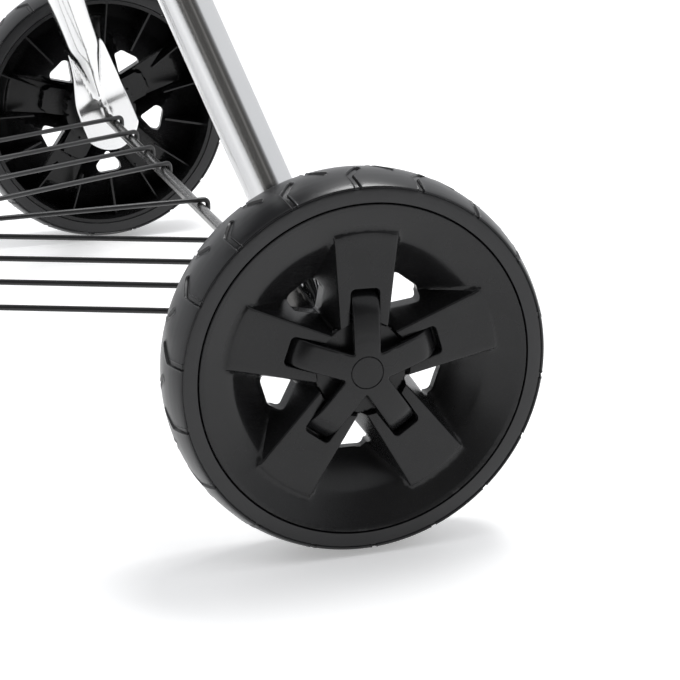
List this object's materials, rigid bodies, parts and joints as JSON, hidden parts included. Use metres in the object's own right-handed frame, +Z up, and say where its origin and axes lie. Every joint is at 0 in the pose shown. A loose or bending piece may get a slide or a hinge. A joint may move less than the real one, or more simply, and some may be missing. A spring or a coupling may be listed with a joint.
{
  "type": "kettle barbecue",
  "caption": "Charcoal kettle barbecue on a splayed three-leg stand, with big spoked wheels on a rod axle, a nested wire rack, a lift-off lid, hinged cooking grate and sweeping ash vents.",
  "frame": {"origin": "on the floor under the kettle's vertical axis, midway between the back of the wheels and the front foot", "axes": "+Z up, +X from the kettle towards the axle, Y along the axle"},
  "size_m": [0.7782, 0.667, 0.978],
  "materials": {
    "chrome_steel": "bright chrome plate",
    "zinc_steel": "zinc plate",
    "tyre_rubber": "moulded tyre, soft sheen",
    "wheel_plastic": "satin dark grey, fine moulded grain",
    "bush_plastic": "natural nylon",
    "black_wire": "gloss black powder coat",
    "enamel_black": "gloss black porcelain enamel",
    "plated_wire": "dull plated steel wire",
    "nylon_black": "glass-filled nylon, satin",
    "aluminium": "mill aluminium"
  },
  "bodies": {
    "stand": {"axle": "chrome_steel", "rear_leg_left": "chrome_steel", "rear_leg_right": "chrome_steel", "front_leg": "chrome_steel", "front_foot_cap": "nylon_black", "leg_lock_pins": "zinc_steel", "leg_socket_left": "enamel_black", "leg_socket_front": "enamel_black", "leg_socket_right": "enamel_black", "axle_spacer_left": "zinc_steel", "axle_spacer_right": "zinc_steel", "axle_push_nut_left": "zinc_steel", "axle_push_nut_right": "zinc_steel", "wire_rack": "black_wire", "rack_clip": "nylon_black", "bowl": "enamel_black", "side_handle_loop_left": "enamel_black", "side_handle_loop_right": "enamel_black", "side_handle_grip_left": "nylon_black", "side_handle_grip_right": "nylon_black", "grate_tabs": "zinc_steel", "ash_pan_ring": "plated_wire", "ash_pan_clips": "zinc_steel"},
    "wheel_left": {"wheel_rim_left": "wheel_plastic", "tyre_left": "tyre_rubber", "hub_cap_left": "wheel_plastic", "hub_bush_left": "bush_plastic"},
    "wheel_right": {"wheel_rim_right": "wheel_plastic", "tyre_right": "tyre_rubber", "hub_cap_right": "wheel_plastic", "hub_bush_right": "bush_plastic"},
    "lid": {"lid": "enamel_black", "lid_damper_rivet": "aluminium", "lid_handle_bracket": "zinc_steel", "lid_handle_grip": "nylon_black", "lid_handle_screws": "zinc_steel"},
    "lid_damper": {"lid_damper": "aluminium"},
    "ash_sweep": {"ash_sweep_blades": "zinc_steel", "ash_sweep_shaft": "zinc_steel", "ash_sweep_lever": "aluminium", "ash_sweep_lever_grip": "nylon_black"},
    "ash_pan": {"ash_pan": "aluminium"},
    "charcoal_grate": {"charcoal_grate": "plated_wire"},
    "cooking_grate": {"cooking_grate": "plated_wire"},
    "grate_flap_left": {"cooking_grate_flap_left": "plated_wire"},
    "grate_flap_right": {"cooking_grate_flap_right": "plated_wire"}
  },
  "joints": [
    {"name": "wheel_left_spin", "type": "hinge", "parent": "stand", "child": "wheel_left", "pos_m": [0.292, -0.3085, 0.097], "axis": [0, 1, 0], "continuous": true},
    {"name": "wheel_right_spin", "type": "hinge", "parent": "stand", "child": "wheel_right", "pos_m": [0.292, 0.3085, 0.097], "axis": [0, 1, 0], "continuous": true},
    {"name": "lid_lift", "type": "slide", "parent": "stand", "child": "lid", "axis": [0, 0, 1], "range_m": [0, 0.3]},
    {"name": "lid_damper_turn", "type": "hinge", "parent": "lid", "child": "lid_damper", "pos_m": [0, 0, 0.5046], "axis": [-0.4067, 0, 0.9135], "range_deg": [0, 45]},
    {"name": "ash_sweep_turn", "type": "hinge", "parent": "stand", "child": "ash_sweep", "pos_m": [0, 0, 0.44], "axis": [0, 0, 1], "range_deg": [0, 60]},
    {"name": "ash_pan_lift", "type": "slide", "parent": "stand", "child": "ash_pan", "axis": [0, 0, 1], "range_m": [0, 0.03]},
    {"name": "charcoal_grate_lift", "type": "slide", "parent": "stand", "child": "charcoal_grate", "axis": [0, 0, 1], "range_m": [0, 0.08]},
    {"name": "cooking_grate_lift", "type": "slide", "parent": "stand", "child": "cooking_grate", "axis": [0, 0, 1], "range_m": [0, 0.06]},
    {"name": "grate_flap_left_hinge", "type": "hinge", "parent": "cooking_grate", "child": "grate_flap_left", "pos_m": [0, -0.135, 0.664], "axis": [-1, 0, 0], "range_deg": [0, 80]},
    {"name": "grate_flap_right_hinge", "type": "hinge", "parent": "cooking_grate", "child": "grate_flap_right", "pos_m": [0, 0.135, 0.664], "axis": [1, 0, 0], "range_deg": [0, 80]}
  ]
}
